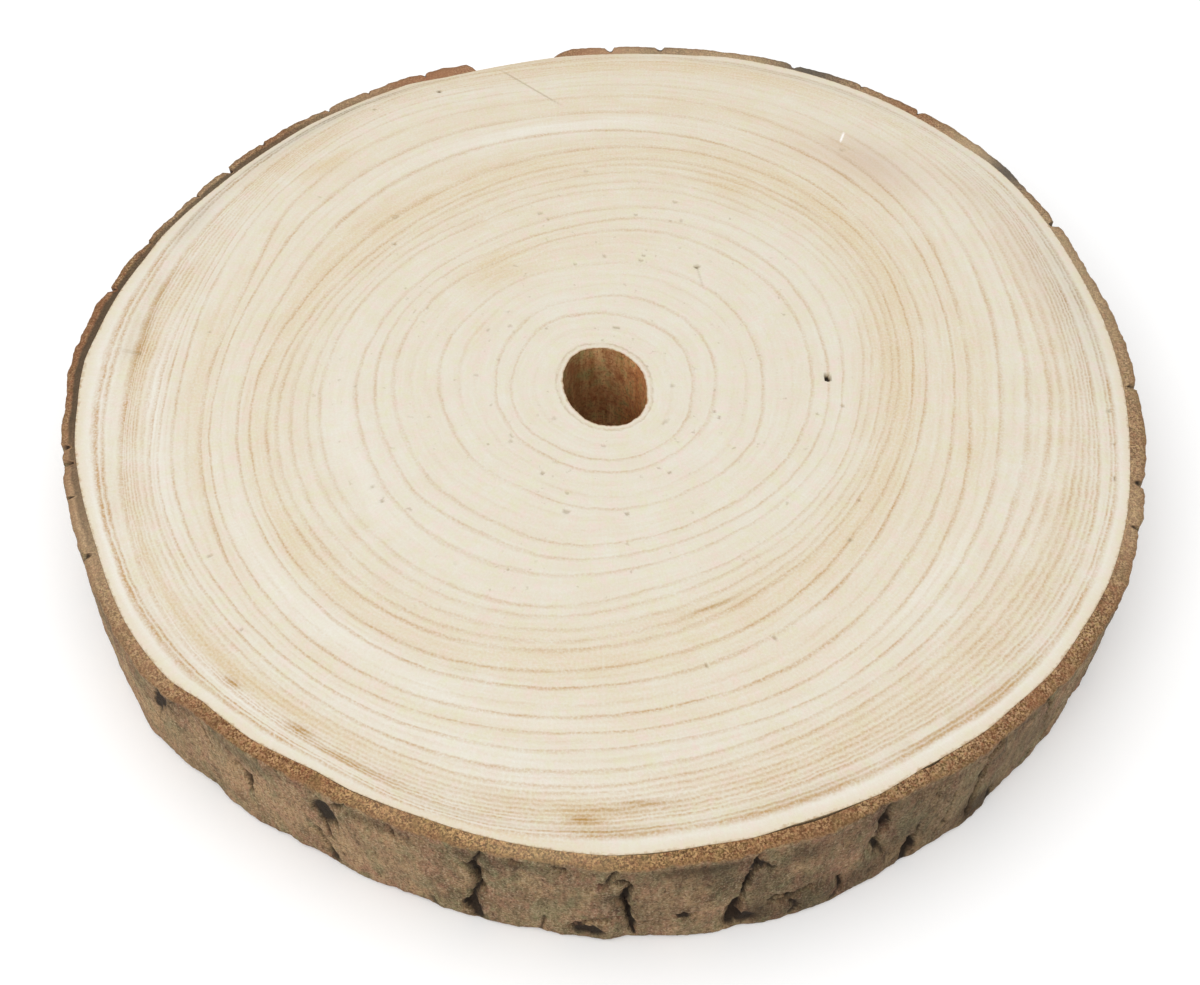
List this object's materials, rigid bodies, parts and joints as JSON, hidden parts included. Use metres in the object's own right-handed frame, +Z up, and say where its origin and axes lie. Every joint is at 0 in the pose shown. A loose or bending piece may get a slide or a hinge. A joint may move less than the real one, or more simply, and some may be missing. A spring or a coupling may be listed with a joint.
{
  "type": "wood slice",
  "caption": "Flat cross-cut slice of a pale, light log with its bark on and a natural pith hole through the middle, for display or as a stand.",
  "frame": {"origin": "middle of the underside's bounding box, bark included; the pith axis is 0.4 mm to the right of it and 7.6 mm in front of it", "axes": "+Z up out of the upper cut, along the trunk; +X to the right; +Y to the back, where a flake of bark is missing"},
  "size_m": [0.258, 0.2652, 0.03],
  "materials": {
    "wood": "smoothly sawn pale end grain, unfinished, matt",
    "bark": "dry grey-brown bark, rough outside, granular and golden brown where it is cut"
  },
  "bodies": {
    "root": {"wood": "wood", "bark": "bark"}
  },
  "joints": []
}
